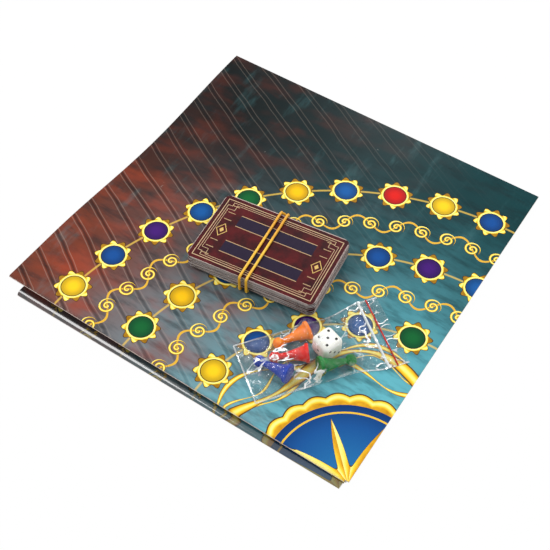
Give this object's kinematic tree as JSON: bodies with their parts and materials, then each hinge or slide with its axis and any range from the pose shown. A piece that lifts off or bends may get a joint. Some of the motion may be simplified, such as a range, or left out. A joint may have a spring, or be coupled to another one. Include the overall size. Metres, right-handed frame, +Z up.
{
  "type": "roll-and-move game board",
  "caption": "Folded square game board of laminated card with a banded card deck and a clear zip bag of playing pieces on top; the panels unfold about their creases.",
  "frame": {"origin": "centre of the square that the folded board covers, on the underside of the base panel", "axes": "+X along the front fold towards the front corner, +Y from the front fold to the back edge, +Z up"},
  "size_m": [0.2501, 0.2541, 0.0249],
  "materials": {
    "printed_sheet": "gloss laminated print",
    "board_core": "raw grey board",
    "white_liner": "uncoated white",
    "card_stock": "cut white card edge",
    "card_back": "varnished print",
    "band_rubber": "smooth",
    "clear_film": "clear film",
    "zip_rib": "translucent white",
    "zip_line": "red",
    "die_ivory": "moulded",
    "pawn_orange": "moulded",
    "pawn_red": "moulded",
    "pawn_blue": "moulded",
    "pawn_green": "moulded"
  },
  "bodies": {
    "base_panel": {"base_panel_print": "printed_sheet", "base_panel_core": "board_core", "base_panel_liner": "white_liner", "lower_front_crease": "printed_sheet"},
    "third_panel": {"third_panel_print": "printed_sheet", "third_panel_core": "board_core", "third_panel_liner": "white_liner", "right_crease": "white_liner"},
    "second_panel": {"second_panel_print": "printed_sheet", "second_panel_core": "board_core", "second_panel_liner": "white_liner", "upper_front_crease": "printed_sheet"},
    "top_panel": {"top_panel_print": "printed_sheet", "top_panel_core": "board_core", "top_panel_liner": "white_liner"},
    "card_deck": {"card_01": "card_stock", "card_02": "card_stock", "card_03": "card_stock", "card_04": "card_stock", "card_05": "card_stock", "card_06": "card_stock", "card_07": "card_stock", "card_08": "card_stock", "card_09": "card_stock", "card_10": "card_stock", "card_11": "card_stock", "card_12": "card_stock", "card_13": "card_stock", "card_14": "card_stock", "card_15": "card_stock", "card_16": "card_stock", "card_17": "card_stock", "card_18": "card_stock", "card_19": "card_stock", "card_20": "card_stock", "card_21": "card_stock", "card_22": "card_stock", "card_23": "card_stock", "card_24": "card_stock", "card_25": "card_stock"},
    "top_card": {"card_26": "card_back"},
    "rubber_band": {"rubber_band": "band_rubber"},
    "game_bag": {"bag_back_film": "clear_film", "bag_front_film": "clear_film", "zip_rib_lower": "zip_rib", "zip_rib_upper": "zip_rib", "zip_red_line": "zip_line"},
    "die": {"die": "die_ivory"},
    "pawn_orange": {"pawn_orange": "pawn_orange"},
    "pawn_red": {"pawn_red": "pawn_red"},
    "pawn_blue": {"pawn_blue": "pawn_blue"},
    "pawn_green": {"pawn_green": "pawn_green"}
  },
  "joints": [
    {"name": "lower_front_fold", "type": "hinge", "parent": "base_panel", "child": "third_panel", "pos_m": [0.1236, -0.12905, 0.00108], "axis": [1, 0, -0.0065], "range_deg": [0, 180], "deforming": ["lower_front_crease"]},
    {"name": "right_fold", "type": "hinge", "parent": "third_panel", "child": "second_panel", "pos_m": [0.1236, 0, 0.00231], "axis": [0, 1, 0], "range_deg": [0, 178.7], "deforming": ["right_crease"]},
    {"name": "upper_front_fold", "type": "hinge", "parent": "second_panel", "child": "top_panel", "pos_m": [0.12364, -0.12505, 0.00354], "axis": [0.9994, 0, -0.0358], "range_deg": [0, 180], "deforming": ["upper_front_crease"]},
    {"name": "deck_lift", "type": "slide", "parent": "top_panel", "child": "card_deck", "axis": [0.0358, 0, 0.9994], "range_m": [0, 0.15]},
    {"name": "card_draw", "type": "slide", "parent": "card_deck", "child": "top_card", "axis": [-0.9923, -0.1219, 0.0215], "range_m": [0, 0.042]},
    {"name": "band_slip", "type": "slide", "parent": "card_deck", "child": "rubber_band", "axis": [-0.9919, -0.1219, 0.0355], "range_m": [0, 0.055]},
    {"name": "bag_lift", "type": "slide", "parent": "top_panel", "child": "game_bag", "axis": [0.0358, 0, 0.9994], "range_m": [0, 0.15]},
    {"name": "die_shift", "type": "slide", "parent": "game_bag", "child": "die", "axis": [0.5944, 0.8039, -0.0213], "range_m": [0, 0.006]},
    {"name": "pawn_orange_shift", "type": "slide", "parent": "game_bag", "child": "pawn_orange", "axis": [0.5944, 0.8039, -0.0213], "range_m": [0, 0.002]},
    {"name": "pawn_red_shift", "type": "slide", "parent": "game_bag", "child": "pawn_red", "axis": [0.5944, 0.8039, -0.0213], "range_m": [0, 0.001]},
    {"name": "pawn_blue_shift", "type": "slide", "parent": "game_bag", "child": "pawn_blue", "axis": [0.5944, 0.8039, -0.0213], "range_m": [0, 0.001]},
    {"name": "pawn_green_shift", "type": "slide", "parent": "game_bag", "child": "pawn_green", "axis": [-0.5944, -0.8039, 0.0213], "range_m": [0, 0.0008]}
  ]
}
